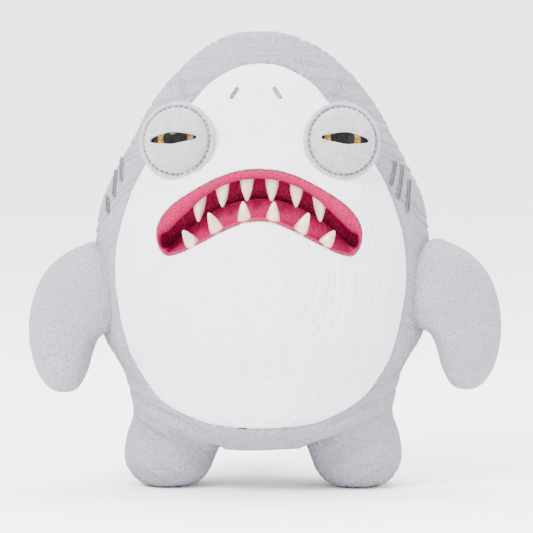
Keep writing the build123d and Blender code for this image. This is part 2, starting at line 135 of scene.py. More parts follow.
def smooth_curve(points, count, closed=False):
    """Points along a Catmull-Rom curve, evenly spaced."""
    ring = np.vstack([points[-1], points, points[:2]]) if closed else np.vstack([
        2 * points[0] - points[1], points, 2 * points[-1] - points[-2]])
    pieces = []
    steps = np.linspace(0, 1, 16, endpoint=False)[:, None]
    for a, b, c, d in zip(ring, ring[1:], ring[2:], ring[3:]):
        pieces.append(0.5 * (2 * b + (c - a) * steps + (2 * a - 5 * b + 4 * c - d) * steps**2
                             + (3 * b - a - 3 * c + d) * steps**3))
    line = np.vstack(pieces + [points[:1] if closed else points[-1:]])
    run = np.r_[0, np.cumsum(np.linalg.norm(np.diff(line, axis=0), axis=1))]
    wanted = np.linspace(0, run[-1], count + 1 if closed else count)
    even = np.c_[np.interp(wanted, run, line[:, 0]), np.interp(wanted, run, line[:, 1])]
    return even[:-1] if closed else even


def both_sides(half, count):
    """A closed outline, clockwise from its top, from its left half; count points."""
    side = smooth_curve(half, count // 2 + 1)
    return np.vstack([side[:-1], (side * [-1, 1])[:0:-1]])


# ---------------------------------------------------------------- the body as a field
def polar_table(side, centre_z, blur):
    """Even angles and smoothed distances of a side curve seen from a point on the middle line."""
    curve = smooth_curve(side, 600)
    angle = np.arctan2(curve[:, 0], curve[:, 1] - centre_z)
    order = np.argsort(angle)
    even = np.linspace(0, math.pi, 8 * 180 + 1)
    distance = np.interp(even, angle[order], np.hypot(curve[order, 0], curve[order, 1] - centre_z))
    ends = 4 * blur
    weight = np.exp(-0.5 * (np.arange(-ends, ends + 1) / blur) ** 2)
    wide = np.r_[distance[ends:0:-1], distance, distance[-2:-ends - 2:-1]]
    return even, np.convolve(wide, weight / weight.sum(), "valid")


TORSO_TABLE = polar_table(TORSO_SIDE, CENTRE[2], TORSO_BLUR)
LEG_TABLE = polar_table(LEG_SIDE, LEG_CENTRE_Z, LEG_BLUR)


def turned(points, x, y, z, depth, table):
    """Rough distance to a form turned round an upright line, scaled front to back by depth."""
    across = np.hypot(points[:, 0] - x, (points[:, 1] - y) / depth)
    up = points[:, 2] - z
    return np.hypot(across, up) - np.interp(np.arctan2(across, up), *table)


def melt(a, b, reach):
    """Smooth union of two distances."""
    share = np.clip(0.5 + 0.5 * (b - a) / reach, 0, 1)
    return b + (a - b) * share - reach * share * (1 - share)


def eye_frame(side):
    """Centre and three axes of an eye's flat front, from its patch in the frame."""
    node = "left_eye_patch" if side > 0 else "right_eye_patch"
    turn, lift = math.radians(EYE_TURN) * side, math.radians(EYE_LIFT)
    out = np.array([math.sin(turn) * math.cos(lift), -math.cos(turn) * math.cos(lift), math.sin(lift)])
    across = np.array([math.cos(turn), math.sin(turn), 0])
    return middle(node) - out * PATCH_THICKNESS / 2, across, np.cross(out, across), out


def eye_pad(points, side):
    """Distance to the round padding under an eye patch."""
    centre, across, up, out = eye_frame(side)
    local = points - centre
    radius = np.hypot(local @ across, local @ up)
    depth = np.abs(local @ out + EYE_PAD_HALF_DEPTH + EYE_PAD_SET_BACK)
    past_side = np.maximum(radius - EYE_PAD_RADIUS + EYE_PAD_ROUNDING, 0)
    past_end = np.maximum(depth - EYE_PAD_HALF_DEPTH + EYE_PAD_ROUNDING, 0)
    return np.hypot(past_side, past_end) - EYE_PAD_ROUNDING


# creases that pull in at the hips, as lines on the front, with depth and half width
CREASES = [
    ([(-60, 44.5), (-45, 39), (-33, 33.4), (-20, 26.6)], 2.8, 2.4),
    ([(-66, 33.5), (-47, 24.6)], 2.0, 2.4),
    ([(-44, 30), (-27, 24.6), (-18, 21)], 2.4, 2.2),
    ([(31, 33), (46, 41), (57, 47)], 2.4, 2.4),
    ([(19, 21), (38, 29), (54, 36.6)], 3.6, 2.3),
]


def line_distance(points, line):
    """Distance in X and Z to a line, and how far along it the nearest place is, 0 to 1."""
    best = np.full(len(points), 1e9)
    along = np.zeros(len(points))
    flat = points[:, [0, 2]]
    count = len(line) - 1
    for index, (start, end) in enumerate(zip(line, line[1:])):
        start, run = np.array(start, float), np.subtract(end, start)
        share = np.clip((flat - start) @ run / (run @ run), 0, 1)
        gap = np.linalg.norm(flat - start - share[:, None] * run, axis=1)
        nearer = gap < best
        best[nearer] = gap[nearer]
        along[nearer] = (index + share[nearer]) / count
    return best, along


def folds(points):
    """Depth of the hip creases at each point, zero on the back."""
    total = np.zeros(len(points))
    front = np.clip((BODY_Y + 10 - points[:, 1]) / 20, 0, 1)
    for line, depth, width in CREASES:
        gap, along = line_distance(points, line)
        fade = np.clip(np.minimum(along, 1 - along) * 5, 0, 1)
        swell = 0.35 * np.exp(-((gap - 2.1 * width) / (1.6 * width)) ** 2)
        total += depth * (fade * (np.exp(-(gap / width) ** 2) - swell)) * front
    return total


def lumps(points):
    """Slight unevenness of hand stuffing."""
    x, y, z = (points / LUMP_SIZE).T
    wave = np.sin(1.3 * x + 0.7 * z + 1.1) * np.sin(1.1 * z - 0.6 * y)
    wave += 0.6 * np.sin(2.3 * x - 1.9 * z + 0.5 * y)
    return LUMP_HEIGHT * wave * np.clip(points[:, 2] / 12, 0, 1)


def body_field(points):
    """Rough distance to the stuffed body: torso, legs and eye padding melted together."""
    field = turned(points, 0, BODY_Y, CENTRE[2], FLATTENING, TORSO_TABLE)
    for side in (-1, 1):
        leg = turned(points, side * LEG[0], LEG[1], LEG_CENTRE_Z, LEG_DEPTH, LEG_TABLE)
        field = melt(field, leg, LEG_MELT)
        field = melt(field, eye_pad(points, side), EYE_MELT)
    return field + folds(points) - lumps(points)


def along_ray(starts, ways, near, far):
    """Where rays leave the body, found by halving."""
    low, high = np.full(len(starts), near), np.full(len(starts), far)
    for _ in range(26):
        half = (low + high) / 2
        inside = body_field(starts + ways * half[:, None]) < 0
        low[inside], high[~inside] = half[inside], half[~inside]
    return starts + ways * ((low + high) / 2)[:, None]


def on_front(flat):
    """Points of the body's front at places in X and Z."""
    starts = np.c_[flat[:, 0], np.full(len(flat), BODY_Y), flat[:, 1]]
    return along_ray(starts, np.tile([0.0, -1.0, 0.0], (len(flat), 1)), 0, 110)


def on_ray(ways):
    """Points of the body in directions from its centre."""
    ways = ways / np.linalg.norm(ways, axis=1)[:, None]
    return along_ray(np.tile(CENTRE, (len(ways), 1)), ways, 0, 170)


def field_normals(points):
    """Outward directions of the body at points on it."""
    step = 0.4
    slope = [body_field(points + offset) - body_field(points - offset) for offset in np.eye(3) * step]
    slope = np.array(slope).T
    return slope / np.linalg.norm(slope, axis=1)[:, None]


# ---------------------------------------------------------------- meshes
def grid_faces(rows, columns, wrap=True):
    """Quads between the rows of a grid of points."""
    last = columns if wrap else columns - 1
    row, column = np.mgrid[0:rows - 1, 0:last]
    here = (row * columns + column).ravel()
    right = (row * columns + (column + 1) % columns).ravel()
    return np.c_[here, right, right + columns, here + columns]


def mesh_piece(name, points_mm, faces, material, body, replaced=(), flip=False):
    """A finished smooth mesh that rides on a body and stands for CAD nodes."""
    mesh = bpy.data.meshes.new(name)
    faces = np.array(faces)
    if flip:
        faces = faces[:, ::-1]
    corners = [list(dict.fromkeys(face)) for face in faces.tolist()]
    mesh.from_pydata((np.array(points_mm) * MM).tolist(), [], corners)
    mesh.validate()
    mesh.shade_smooth()
    for one in (material if isinstance(material, list) else [material]):
        mesh.materials.append(one)
    piece = bpy.data.objects.new(name, mesh)
    bpy.context.scene.collection.objects.link(piece)
    if replaced:
        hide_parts(*replaced)
    if body:
        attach(piece, body)
    return piece


def tube(centres, radius, sides=8, closed=True, taper=False):
    """Points and faces of a round thread that follows a line."""
    centres = np.array(centres, float)
    count = len(centres)
    ahead = (np.roll(centres, -1, 0) - np.roll(centres, 1, 0)) if closed else np.gradient(centres, axis=0)
    ahead /= np.linalg.norm(ahead, axis=1)[:, None]
    up = field_normals(centres)
    across = np.cross(ahead, up)
    across /= np.linalg.norm(across, axis=1)[:, None]
    up = np.cross(across, ahead)
    angle = np.linspace(0, 2 * math.pi, sides, endpoint=False)
    size = np.full(count, radius)
    if taper:
        size = radius * np.sqrt(np.clip(1 - np.linspace(-1, 1, count) ** 4, 0.02, 1))
    points = (centres[:, None] + size[:, None, None] * (
        np.cos(angle)[None, :, None] * across[:, None] + np.sin(angle)[None, :, None] * up[:, None]))
    faces = grid_faces(count, sides)
    if closed:
        first = np.arange(sides)
        last = (count - 1) * sides + first
        faces = np.vstack([faces, np.c_[last, np.roll(last, -1), np.roll(first, -1), first]])
    return points.reshape(-1, 3), faces


def joined(parts):
    """Several meshes as one list of points and one of faces."""
    points, faces, start = [], [], 0
    for some_points, some_faces in parts:
        points.append(some_points)
        faces.append(np.array(some_faces) + start)
        start += len(some_points)
    return np.vstack(points), np.vstack(faces)


# ---------------------------------------------------------------- materials
def new_material(name, roughness, specular=0.3):
    material = bpy.data.materials.new(name)
    material.use_nodes = True
    nodes, links = material.node_tree.nodes, material.node_tree.links
    shader = nodes["Principled BSDF"]
    shader.inputs["Roughness"].default_value = roughness
    shader.inputs["Specular IOR Level"].default_value = specular
    place = nodes.new("ShaderNodeTexCoord").outputs["Object"]
    return material, nodes, links, shader, place


def noise(nodes, links, place, scale, detail=3.0, rough=0.55, stretch=None):
    if stretch:
        mapping = nodes.new("ShaderNodeMapping")
        mapping.inputs["Scale"].default_value = stretch
        links.new(place, mapping.inputs["Vector"])
        place = mapping.outputs["Vector"]
    texture = nodes.new("ShaderNodeTexNoise")
    texture.inputs["Scale"].default_value = scale
    texture.inputs["Detail"].default_value = detail
    texture.inputs["Roughness"].default_value = rough
    links.new(place, texture.inputs["Vector"])
    return texture.outputs["Fac"]


def ramp(nodes, links, value, stops):
    node = nodes.new("ShaderNodeValToRGB")
    while len(node.color_ramp.elements) < len(stops):
        node.color_ramp.elements.new(0.5)
    for element, (where, colour) in zip(node.color_ramp.elements, stops):
        element.position = where
        element.color = (*colour, 1)
    links.new(value, node.inputs["Fac"])
    return node.outputs["Color"]


def math_node(nodes, links, operation, a, b):
    node = nodes.new("ShaderNodeMath")
    node.operation = operation
    for socket, value in zip(node.inputs, (a, b)):
        if isinstance(value, (int, float)):
            socket.default_value = value
        else:
            links.new(value, socket)
    return node.outputs["Value"]


def bump(nodes, links, shader, height, distance, strength=1.0):
    node = nodes.new("ShaderNodeBump")
    node.inputs["Distance"].default_value = distance
    node.inputs["Strength"].default_value = strength
    links.new(height, node.inputs["Height"])
    links.new(node.outputs["Normal"], shader.inputs["Normal"])


def fleece(name, dark, light, nap=1.0, pebble=620.0, sheen=0.25, depth=0.0013):
    """Curly micro-fleece: small pebbles of pile, fine fibres, soft cloudy shade."""
    material, nodes, links, shader, place = new_material(name, 0.95, 0.12)
    shader.inputs["Sheen Weight"].default_value = sheen
    shader.inputs["Sheen Roughness"].default_value = 0.55
    shader.inputs["Sheen Tint"].default_value = (*light, 1)
    curls = nodes.new("ShaderNodeTexVoronoi")
    curls.inputs["Scale"].default_value = pebble
    curls.inputs["Randomness"].default_value = 1.0
    warp = noise(nodes, links, place, 900.0, 2.0)
    mix = nodes.new("ShaderNodeVectorMath")
    mix.operation = "MULTIPLY_ADD"
    links.new(warp.node.outputs["Color"], mix.inputs[0])
    mix.inputs[1].default_value = (0.0012, 0.0012, 0.0012)
    links.new(place, mix.inputs[2])
    links.new(mix.outputs["Vector"], curls.inputs["Vector"])
    fibre = noise(nodes, links, place, 2600.0, 2.0)
    clumps = noise(nodes, links, place, 260.0, 4.0, 0.65)
    cloud = noise(nodes, links, place, 42.0, 2.0)
    pile = math_node(nodes, links, "MULTIPLY", curls.outputs["Distance"], -nap * 0.9)
    pile = math_node(nodes, links, "ADD", pile, math_node(nodes, links, "MULTIPLY", fibre, 0.22))
    pile = math_node(nodes, links, "ADD", pile, math_node(nodes, links, "MULTIPLY", clumps, 0.28))
    shade = math_node(nodes, links, "ADD", math_node(nodes, links, "MULTIPLY", pile, 0.75),
                      math_node(nodes, links, "MULTIPLY", cloud, 0.25))
    colour = ramp(nodes, links, shade, [(0.0, dark), (0.42, light)])
    links.new(colour, shader.inputs["Base Color"])
    bump(nodes, links, shader, pile, depth)
    return material


def minky(name, dark, light, sheen=0.4, depth=0.0002):
    """Short dense pile brushed downwards: fine upright streaks and a soft sheen."""
    material, nodes, links, shader, place = new_material(name, 0.92, 0.15)
    shader.inputs["Sheen Weight"].default_value = sheen
    shader.inputs["Sheen Roughness"].default_value = 0.4
    shader.inputs["Sheen Tint"].default_value = (*light, 1)
    streaks = noise(nodes, links, place, 900.0, 3.0, 0.6, (1.0, 0.2, 0.22))
    brushed = noise(nodes, links, place, 90.0, 3.0, 0.5, (1.0, 0.4, 0.4))
    height = math_node(nodes, links, "ADD", math_node(nodes, links, "MULTIPLY", streaks, 0.8),
                       math_node(nodes, links, "MULTIPLY", brushed, 0.4))
    links.new(ramp(nodes, links, height, [(0.35, dark), (0.75, light)]), shader.inputs["Base Color"])
    bump(nodes, links, shader, height, depth)
    return material


def felt(name, dark, light, depth=0.0004):
    """Pressed wool felt: short fibres in every direction, flecked."""
    material, nodes, links, shader, place = new_material(name, 0.97, 0.08)
    shader.inputs["Sheen Weight"].default_value = 0.25
    shader.inputs["Sheen Roughness"].default_value = 0.6
    fine = noise(nodes, links, place, 1500.0, 4.0, 0.75)
    mottled = noise(nodes, links, place, 300.0, 3.0, 0.6)
    height = math_node(nodes, links, "ADD", math_node(nodes, links, "MULTIPLY", fine, 0.7),
                       math_node(nodes, links, "MULTIPLY", mottled, 0.3))
    links.new(ramp(nodes, links, height, [(0.36, dark), (0.66, light)]), shader.inputs["Base Color"])
    bump(nodes, links, shader, height, depth)
    return material


def thread(name, dark, light):
    """Twisted sewing thread."""
    material, nodes, links, shader, place = new_material(name, 0.7, 0.3)
    shader.inputs["Sheen Weight"].default_value = 0.2
    twist = noise(nodes, links, place, 1900.0, 2.0, 0.5, (1.0, 1.0, 0.6))
    links.new(ramp(nodes, links, twist, [(0.3, dark), (0.7, light)]), shader.inputs["Base Color"])
    bump(nodes, links, shader, twist, 0.0002)
    return material


def enamel(name, dark, light):
    """Moulded ivory plastic with faint streaks along each tooth."""
    material, nodes, links, shader, place = new_material(name, 0.22, 0.5)
    shader.inputs["Subsurface Weight"].default_value = 0.12
    shader.inputs["Subsurface Radius"].default_value = (0.0015, 0.0008, 0.0005)
    shader.inputs["Coat Weight"].default_value = 0.5
    shader.inputs["Coat Roughness"].default_value = 0.12
    streaks = noise(nodes, links, place, 420.0, 3.0, 0.55, (1.0, 1.0, 0.16))
    links.new(ramp(nodes, links, streaks, [(0.32, dark), (0.68, light)]), shader.inputs["Base Color"])
    bump(nodes, links, shader, streaks, 0.00012)
    return material


def gloss(name, dark, light, roughness=0.08):
    """Clear-coated moulded plastic with a faint cloudy depth."""
    material, nodes, links, shader, place = new_material(name, roughness, 0.04)
    shader.inputs["Coat Weight"].default_value = 0.07
    shader.inputs["Coat Roughness"].default_value = 0.03
    cloud = noise(nodes, links, place, 500.0, 3.0)
    links.new(ramp(nodes, links, cloud, [(0.35, dark), (0.65, light)]), shader.inputs["Base Color"])
    return material


GREY = fleece("grey_fleece_nap", (0.245, 0.24, 0.275), (0.385, 0.375, 0.435), nap=0.8)
WHITE = minky("white_minky", (0.60, 0.60, 0.655), (0.70, 0.70, 0.75), sheen=0.15)
PINK = fleece("pink_plush_nap", (0.30, 0.006, 0.055), (0.50, 0.022, 0.125), pebble=900.0, sheen=0.2,
              depth=0.0008)
FELT = felt("grey_felt", (0.20, 0.20, 0.225), (0.43, 0.43, 0.47))
LID_FELT = felt("lid_felt", (0.21, 0.21, 0.235), (0.41, 0.41, 0.445))
GREY_THREAD = thread("grey_thread_twist", (0.035, 0.033, 0.042), (0.12, 0.115, 0.135))
DARK_THREAD = thread("dark_thread_twist", (0.02, 0.02, 0.025), (0.08, 0.08, 0.09))
TOOTH = enamel("ivory_tooth", (0.42, 0.27, 0.20), (0.60, 0.45, 0.36))
PUPIL = gloss("pupil_black", (0.003, 0.003, 0.003), (0.008, 0.007, 0.006))
IRIS = gloss("iris_amber", (0.08, 0.035, 0.004), (0.24, 0.14, 0.03))
WASHER = gloss("washer_white", (0.70, 0.70, 0.68), (0.80, 0.80, 0.78), 0.45)

# ---------------------------------------------------------------- body covers
AROUND = 480  # points in every ring of the body covers
SEAM_DEPTH = 1.3
SEAM_WIDTH = 1.5
PULL_DEPTH = 0.35  # wider, shallower pull of the thread beside a seam
PULL_WIDTH = 4.5


def seam_dip(gap):
    """How far a cover turns in at a distance from its sewn edge."""
    return SEAM_DEPTH * np.exp(-(gap / SEAM_WIDTH) ** 2) + PULL_DEPTH * np.exp(-(gap / PULL_WIDTH) ** 2)


def rows_between(first, last, rows):
    """Grid rows from one outline to another."""
    share = np.linspace(0, 1, rows)[:, None, None]
    return first[None] + (last - first)[None] * share


def settle(points, gaps):
    """Covers turned in along their seams."""
    flat = points.reshape(-1, 3)
    return flat - field_normals(flat) * seam_dip(gaps.ravel())[:, None]


def edge_gaps(rows):
    """Distance of every grid point from the grid's first and last row."""
    steps = np.linalg.norm(np.diff(rows, axis=0), axis=2)
    inwards = np.vstack([np.zeros((1, rows.shape[1])), np.cumsum(steps, 0)])
    return inwards, inwards[-1:] - inwards


mouth = both_sides(MOUTH_SIDE, AROUND)
egg = both_sides(BELLY_SIDE, AROUND)


def matched(outline, anchors, count):
    """An outline respaced so that each anchor falls at its own share of the points."""
    index = np.array([np.argmin(np.linalg.norm(outline - anchor, axis=1)) for anchor, _ in anchors])
    share = np.array([where for _, where in anchors]) * count
    order = np.argsort(share)
    index, share = index[order], share[order]
    index = np.r_[index, index[0] + count]
    share = np.r_[share, share[0] + count]
    wanted = np.interp(np.arange(count), share, index)
    low = np.floor(wanted).astype(int)
    part = (wanted - low)[:, None]
    return outline[low % count] * (1 - part) + outline[(low + 1) % count] * part


MATCHES = [((0, 162.4), (0, 215), 0.0), ((43, 144), (58, 164), 0.14), ((50.3, 131), (73.4, 111), 0.25),
           ((45.7, 120.6), (58.5, 55.3), 0.36), ((0, 138), (0, 33.3), 0.5)]
pairs = [(a, b, where) for a, b, where in MATCHES]
pairs += [((-a[0], a[1]), (-b[0], b[1]), 1 - where) for a, b, where in MATCHES[1:-1]]
mouth_ring = matched(mouth, [(np.array(a), where) for a, _, where in pairs], AROUND)
egg_ring = matched(egg, [(np.array(b), where) for _, b, where in pairs], AROUND)

BELLY_ROWS = 90
LIP_EDGE = 2.2  # width and depth of the white cover's turned edge at the mouth
LIP_TURN = 2.0
belly_flat = rows_between(mouth_ring, egg_ring, BELLY_ROWS)
belly = on_front(belly_flat.reshape(-1, 2)).reshape(BELLY_ROWS, AROUND, 3)
from_mouth, from_egg = edge_gaps(belly)
edge = np.minimum(from_mouth / LIP_EDGE, 1)
belly_points = settle(belly, from_egg).reshape(belly.shape)
belly_points[:, :, 1] += LIP_TURN * (1 - np.sqrt(1 - (1 - edge) ** 2))  # rolls in at the mouth
roll = [belly_points[0] + [0, depth, 0] for depth in (5.0, 2.6, 1.0)]
belly_all = np.concatenate([np.array(roll), belly_points])
belly_faces = grid_faces(len(belly_all), AROUND)
belly_mesh = mesh_piece("belly_cover", belly_all.reshape(-1, 3), belly_faces, WHITE, "body",
                        ["belly_panel"], flip=True)

# grey covers: from the egg seam round to the side seam, then to the middle of the back
FRONT_ROWS = 150
BACK_ROWS = 110
egg_surface = belly[-1]
seam_way = egg_surface - CENTRE
seam_way /= np.linalg.norm(seam_way, axis=1)[:, None]
side_way = seam_way * [1, 0, 1]
side_way[:, 1] = 0.02
side_way /= np.linalg.norm(side_way, axis=1)[:, None]
back_way = np.array([0.0, 1.0, 0.0])


def arc_ways(first, last, rows):
    """Directions that swing evenly from one to the other."""
    last = np.broadcast_to(last, first.shape)
    angle = np.arccos(np.clip((first * last).sum(1), -1, 1))[:, None]
    share = np.linspace(0, 1, rows)[:, None, None]
    return (np.sin((1 - share) * angle) * first + np.sin(share * angle) * last) / np.sin(angle)


front = on_ray(arc_ways(seam_way, side_way, FRONT_ROWS).reshape(-1, 3)).reshape(FRONT_ROWS, AROUND, 3)
from_seam, from_side = edge_gaps(front)
front_points = settle(front, np.minimum(from_seam, from_side))
back = on_ray(arc_ways(side_way, back_way, BACK_ROWS).reshape(-1, 3)).reshape(BACK_ROWS, AROUND, 3)
back_from_side, _ = edge_gaps(back)
back_gap = np.minimum(back_from_side, np.abs(back[:, :, 0]))
back_points = settle(back, back_gap)
for points in (front_points, back_points):
    points[:, 2] = np.maximum(points[:, 2], 0.0)  # the soles press flat on the floor

front_faces = grid_faces(FRONT_ROWS, AROUND)
front_mesh = mesh_piece("front_cover", front_points, front_faces, GREY, "body",
                        ["front_panel", "left_sole", "right_sole"], flip=True)
back_faces = grid_faces(BACK_ROWS, AROUND)
face_x = back_points[back_faces].mean(1)[:, 0]
for name, keep, nodes in (("left_back_cover", face_x >= 0, ["back_panel_left", "body_stuffing"]),
                          ("right_back_cover", face_x < 0, ["back_panel_right"])):
    used, faces = np.unique(back_faces[keep], return_inverse=True)
    back_mesh = mesh_piece(name, back_points[used], faces.reshape(-1, 4), GREY, "body",
                           nodes, flip=True)

# ---------------------------------------------------------------- mouth
GUM_RADIUS, GUM_Z = 47.4, 111.1


def mouth_lining():
    """Lip rolls and the pouch behind them, from the mouth's edge to the fold at the back."""
    edge_points = on_front(mouth_ring)
    x, z = mouth_ring.T
    share = np.arange(AROUND) / AROUND
    is_top = (share < 0.335) | (share > 0.665)
    fold_z = 147.5 - 26.0 * (x / 50.0) ** 2
    fold = np.c_[x * 0.93, fold_z]
    gum = GUM_Z + np.sqrt(np.maximum(GUM_RADIUS**2 - np.minimum(np.abs(x), 43) ** 2, 0))
    lip = np.where(is_top, np.clip(z - gum + 0.6, 4.4, 9.0), 1.3)
    lip = np.convolve(np.r_[lip[-12:], lip, lip[:12]], np.ones(25) / 25, "valid")
    inward = fold - mouth_ring
    reach = np.linalg.norm(inward, axis=1)
    inward /= reach[:, None]
    lip = np.minimum(lip, reach * 0.8)
    rows = []
    for turn in np.linspace(-35, 180, 20):
        angle = math.radians(turn)
        depth = 4.0 - 4.4 * math.cos(angle)
        across = math.sin(max(angle, 0)) if turn < 90 else 0.7 + 0.3 * math.sin(angle)
        rows.append((mouth_ring + inward * (lip * across)[:, None], depth))
    wall = mouth_ring + inward * (lip * 0.7)[:, None]
    for step in np.linspace(0.12, 1, 16):
        rows.append((wall * (1 - step**2) + fold * step**2, 8.4 + 15.0 * step))
    points = []
    for flat, depth in rows:
        points.append(np.c_[flat[:, 0], edge_points[:, 1] + depth + 0.4, flat[:, 1]])
    return np.array(points), is_top


lining, is_top = mouth_lining()
lining_faces = grid_faces(len(lining), AROUND)
column = lining_faces[:, 0] % AROUND
lining_points = lining.reshape(-1, 3)
UPPER_NODES = ["mouth_roof_lining", "upper_tooth_washers"]
LOWER_NODES = ["mouth_floor_lining", "lower_tooth_washers"]
for name, keep, nodes in (("upper_mouth_lining", is_top[column], UPPER_NODES),
                          ("lower_mouth_lining", ~is_top[column], LOWER_NODES)):
    used, faces = np.unique(lining_faces[keep], return_inverse=True)
    mesh_piece(name, lining_points[used], faces.reshape(-1, 4), PINK, "body", nodes)

# ---------------------------------------------------------------- eyes
SLIT_HALF, SLIT_RISE, SLIT_DROP, SLIT_TILT = 12.0, 2.5, 2.2, 5.0
LID_RADIUS, LID_HEIGHT = 16.2, 9.4
PUPIL_RADIUS, PUPIL_ROWS = 6.0, 16
IRIS_RADIUS, IRIS_ROWS = 8.9, 12
STITCH_COUNT, STITCH_RADIUS, STITCH_LENGTH = 38, 16.9, 1.55
PATCH_PROFILE = [
    (19.0, -3.0), (19.35, -0.6), (19.45, 0.4), (19.3, 1.3), (18.9, 1.85), (18.4, 2.1), (17.9, 2.1),
    (17.4, 1.9), (17.1, 1.6), (16.8, 1.5), (16.5, 1.7), (16.0, 2.2), (12.0, 2.2),
]


def eye_places(side, flat, height):
    """Points from places on an eye's flat front and heights over it."""
    centre, across, up, out = eye_frame(side)
    return centre + flat[:, :1] * across + flat[:, 1:] * up + height[:, None] * out


def felt_patch(name, side):
    """The round patch, its rim standing up a little outside the stitches."""
    around = 160
    angle = np.linspace(0, 2 * math.pi, around, endpoint=False)
    rows = [eye_places(side, radius * np.c_[np.cos(angle), np.sin(angle)], np.full(around, height))
            for radius, height in PATCH_PROFILE]
    mesh_piece(f"{name}_patch", np.vstack(rows), grid_faces(len(rows), around), FELT, "body",
               [f"{name}_eye_patch"], flip=True)


def slit_radius(angle):
    """Distance from an eye's centre to the edge of the slit between its lids."""
    rise = np.where(np.sin(angle) >= 0, SLIT_RISE, SLIT_DROP)
    return SLIT_HALF * rise / np.sqrt((rise * np.cos(angle)) ** 2 + (SLIT_HALF * np.sin(angle)) ** 2)


def lid_height(radius):
    """Height of the puffed lids at a distance from the eye's centre."""
    return 1.5 + LID_HEIGHT * np.sqrt(np.clip(1 - (radius / (LID_RADIUS + 0.2)) ** 2, 0, 1)) ** 0.9


def lid(side, name, upper):
    """One lid: a puffed half dome whose edge turns in to the eyeball along the slit."""
    count = 120
    span = np.linspace(0, math.pi, count) + (0 if upper else math.pi)
    tilt = -side * math.radians(SLIT_TILT)
    inner = slit_radius(span)
    rows = []
    for share in np.linspace(1, 0, 26):
        radius = inner + (LID_RADIUS - inner) * share
        height = lid_height(radius) - 0.8 * np.exp(-((radius - inner) / 0.7) ** 2)
        rows.append((radius, height))
    for shrink, drop in ((0.25, 1.0), (0.35, 1.8), (0.2, 2.8)):
        rows.append((inner - shrink * np.abs(np.sin(span)), lid_height(inner) - drop))
    points = []
    for radius, height in rows:
        flat = radius[:, None] * np.c_[np.cos(span + tilt), np.sin(span + tilt)]
        points.append(eye_places(side, flat, height))
    points = np.vstack(points)
    kind = "upper" if upper else "lower"
    faces = grid_faces(len(rows), count, wrap=False)
    piece = mesh_piece(f"{name}_{kind}_lid", points, faces, LID_FELT, "body",
                       [f"{name}_{kind}_eyelid"], flip=True)


def eyeball(side, name):
    """Glossy dome with a black pupil in an amber ring, set towards the nose."""
    around, rows = 128, 60
    angle = np.linspace(0, 2 * math.pi, around, endpoint=False)
    base, tall = 13.4, 9.6
    shift = np.array([-side * 2.2, 0.4])
    outer_rows = rows - PUPIL_ROWS - IRIS_ROWS
    radii = np.r_[np.linspace(0.05, PUPIL_RADIUS, PUPIL_ROWS),
                  np.linspace(PUPIL_RADIUS + 0.05, IRIS_RADIUS, IRIS_ROWS),
                  np.linspace(IRIS_RADIUS + 0.05, base + 2, outer_rows)]
    points = []
    for radius in radii:
        fade = np.clip((base - radius) / base, 0, 1)
        flat = radius * np.c_[np.cos(angle), np.sin(angle)] + shift * fade**0.35
        distance = np.hypot(*flat.T)
        held = flat * np.minimum(1, base / np.maximum(distance, 1e-6))[:, None]
        points.append(eye_places(side, held, 1.0 + tall * np.sqrt(1 - np.minimum(distance / base, 1) ** 2)))
    piece = mesh_piece(f"{name}_eye_dome", np.vstack(points), grid_faces(len(radii), around), [PUPIL, IRIS],
                       "body", [f"{name}_eye"], flip=True)
    ring = np.arange(len(piece.data.polygons)) // around
    in_iris = (ring >= PUPIL_ROWS - 1) & (ring < PUPIL_ROWS + IRIS_ROWS - 1)
    piece.data.polygons.foreach_set("material_index", in_iris.astype(np.int32))


def stitches(side, name):
    """Short dark stitches in a ring near the patch's edge."""
    parts = []
    for index in range(STITCH_COUNT):
        start = 2 * math.pi * (index + 0.08 * RNG.standard_normal()) / STITCH_COUNT
        angle = start + np.linspace(-0.5, 0.5, 7) * STITCH_LENGTH / STITCH_RADIUS
        lift = 2.05 - 0.5 * np.linspace(-1, 1, 7) ** 2
        centres = eye_places(side, STITCH_RADIUS * np.c_[np.cos(angle), np.sin(angle)], lift)
        parts.append(tube(centres, 0.24, closed=False, taper=True))
    points, faces = joined(parts)
    mesh_piece(f"{name}_patch_stitches", points, faces, DARK_THREAD, "body",
               [f"{name}_eye_patch_stitching"])


for name in ("left", "right"):
    side = side_of(name)
    felt_patch(name, side)
    stitches(side, name)
    eyeball(side, name)
    lid(side, name, True)
    lid(side, name, False)

# ---------------------------------------------------------------- embroidery
GILLS = {
    "left": [((66.5, 164.4), (64.6, 154.4)), ((70.1, 162), (68.1, 147.6)), ((73.4, 155), (72.6, 141))],
    "right": [((-70.6, 165.4), (-69.6, 156)), ((-73.2, 159.3), (-73.4, 148.3)),
              ((-77.0, 146.6), (-76.4, 140.2))],
}
NOSTRILS = [((-14.0, 197.3), (-11.4, 201.4)), ((9.9, 197.2), (7.0, 201.4))]


def slit_loop(start, end, half_width=0.55):
    """A long narrow loop of thread round a sewn slit."""
    start, end = np.array(start, float), np.array(end, float)
    run = (end - start) / np.linalg.norm(end - start)
    across = np.array([-run[1], run[0]])
    angle = np.linspace(0, math.pi, 7)
    cap = np.c_[np.cos(angle), np.sin(angle)] * half_width
    far = end + cap[:, 1:] * run + cap[:, :1] * across
    near = start - cap[:, 1:] * run - cap[:, :1] * across
    out = np.linspace(near[-1], far[0], 14)[:-1]
    home = np.linspace(far[-1], near[0], 14)[1:-1]
    return on_front(np.vstack([out, far, home, near]))


def embroidered(name, slits, radius, nodes):
    parts = []
    for start, end in slits:
        loop = slit_loop(start, end)
        parts.append(tube(loop + field_normals(loop) * 0.4, radius))
    points, faces = joined(parts)
    mesh_piece(name, points, faces, GREY_THREAD, "body", nodes)


